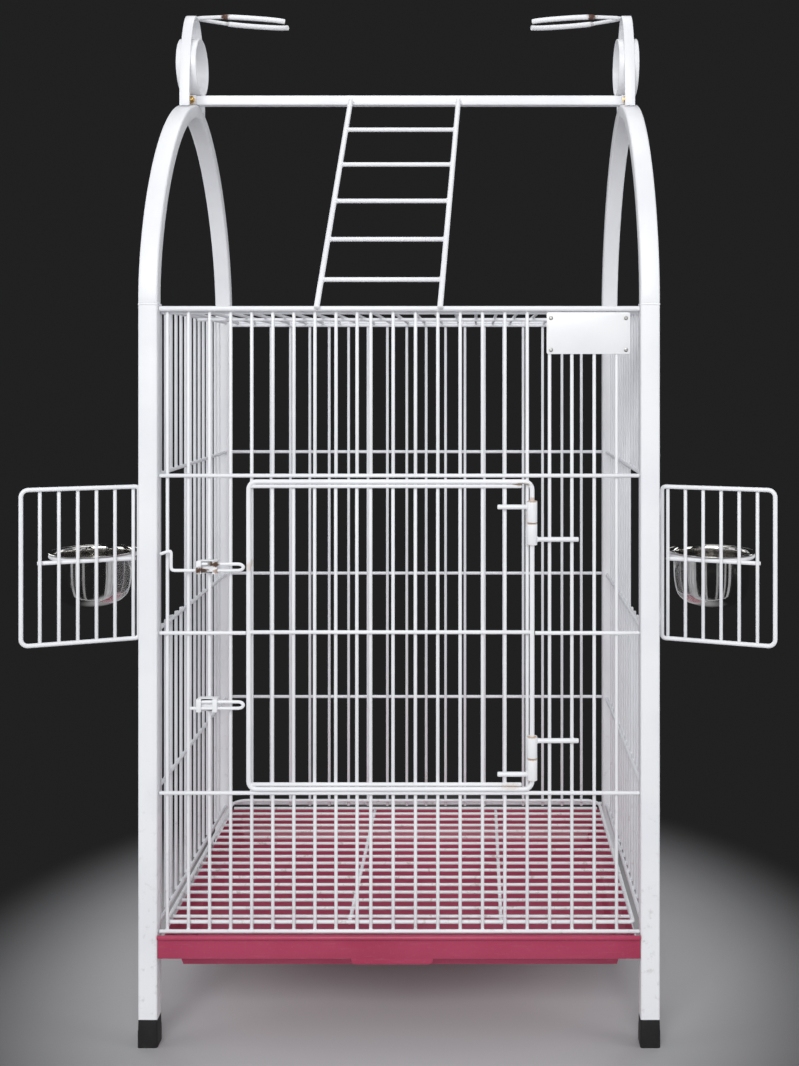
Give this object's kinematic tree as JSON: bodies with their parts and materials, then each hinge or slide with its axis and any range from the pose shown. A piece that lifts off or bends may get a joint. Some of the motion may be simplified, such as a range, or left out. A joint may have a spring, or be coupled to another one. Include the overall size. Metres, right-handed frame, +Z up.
{
  "type": "parrot cage",
  "caption": "Tall wire parrot cage on square tube posts with arched ends, a hinged front door, swing-out feeder doors with cups, a slide-out tray and a play top with perch bar and ladder.",
  "frame": {"origin": "on the floor, under the middle of the whole outline, open feeder doors included", "axes": "+Z up, the front with the main door towards -Y, +X to the right as seen from the front"},
  "size_m": [0.8624, 0.4397, 1.2489],
  "materials": {
    "powder_coat": "satin white powder coat",
    "rubber": "matte black",
    "tray_enamel": "satin crimson enamel",
    "steel": "polished stainless",
    "brass": "dull"
  },
  "bodies": {
    "cage": {"post_front_left": "powder_coat", "post_front_right": "powder_coat", "post_back_left": "powder_coat", "post_back_right": "powder_coat", "foot_cap_front_left": "rubber", "foot_cap_front_right": "rubber", "foot_cap_back_left": "rubber", "foot_cap_back_right": "rubber", "arch_left": "powder_coat", "arch_right": "powder_coat", "perch_bar": "powder_coat", "bar_lug_left": "powder_coat", "bar_lug_right": "powder_coat", "bar_screw_left": "brass", "bar_screw_right": "brass", "ladder": "powder_coat", "hoop_left": "powder_coat", "hoop_right": "powder_coat", "cup_fork_left": "powder_coat", "cup_fork_right": "powder_coat", "front_jamb_left": "powder_coat", "front_jamb_right": "powder_coat", "front_grid_lower": "powder_coat", "front_grid_upper": "powder_coat", "back_panel": "powder_coat", "side_panel_left": "powder_coat", "side_panel_right": "powder_coat", "roof_grille": "powder_coat", "floor_grate": "powder_coat", "tray_runner_left": "powder_coat", "tray_runner_right": "powder_coat", "panel_knuckle_upper": "powder_coat", "panel_knuckle_lower": "powder_coat", "latch_guide_upper": "powder_coat", "latch_guide_lower": "powder_coat", "feeder_pin_left": "powder_coat", "feeder_pin_right": "powder_coat"},
    "door": {"main_door": "powder_coat", "door_knuckle_upper": "powder_coat", "door_knuckle_lower": "powder_coat"},
    "upper_latch": {"latch_bolt_upper": "powder_coat"},
    "lower_latch": {"latch_bolt_lower": "powder_coat"},
    "left_feeder": {"feeder_door_left": "powder_coat", "feeder_barrel_left_lower": "powder_coat", "feeder_barrel_left_upper": "powder_coat", "feeder_ring_left": "powder_coat"},
    "right_feeder": {"feeder_door_right": "powder_coat", "feeder_barrel_right_lower": "powder_coat", "feeder_barrel_right_upper": "powder_coat", "feeder_ring_right": "powder_coat"},
    "left_cup": {"feeder_cup_left": "steel"},
    "right_cup": {"feeder_cup_right": "steel"},
    "tray": {"tray_floor": "tray_enamel", "tray_wall_front": "tray_enamel", "tray_wall_back": "tray_enamel", "tray_wall_left": "tray_enamel", "tray_wall_right": "tray_enamel"}
  },
  "joints": [
    {"name": "door_hinge", "type": "hinge", "parent": "cage", "child": "door", "pos_m": [0.1532, -0.19607, 0.4724], "axis": [0, 0, 1], "range_deg": [0, 150]},
    {"name": "upper_latch_slide", "type": "slide", "parent": "cage", "child": "upper_latch", "axis": [1, 0, 0], "range_m": [0, 0.012]},
    {"name": "lower_latch_slide", "type": "slide", "parent": "cage", "child": "lower_latch", "axis": [1, 0, 0], "range_m": [0, 0.012]},
    {"name": "left_feeder_hinge", "type": "hinge", "parent": "cage", "child": "left_feeder", "pos_m": [-0.3, -0.17057, 0.5537], "axis": [0, 0, 1], "range_deg": [-110, 35]},
    {"name": "right_feeder_hinge", "type": "hinge", "parent": "cage", "child": "right_feeder", "pos_m": [0.3, -0.17057, 0.5537], "axis": [0, 0, -1], "range_deg": [-110, 35]},
    {"name": "left_cup_lift", "type": "slide", "parent": "left_feeder", "child": "left_cup", "axis": [0, 0, 1], "range_m": [0, 0.08]},
    {"name": "right_cup_lift", "type": "slide", "parent": "right_feeder", "child": "right_cup", "axis": [0, 0, 1], "range_m": [0, 0.08]},
    {"name": "tray_slide", "type": "slide", "parent": "cage", "child": "tray", "axis": [0, -1, 0], "range_m": [0, 0.35]}
  ]
}
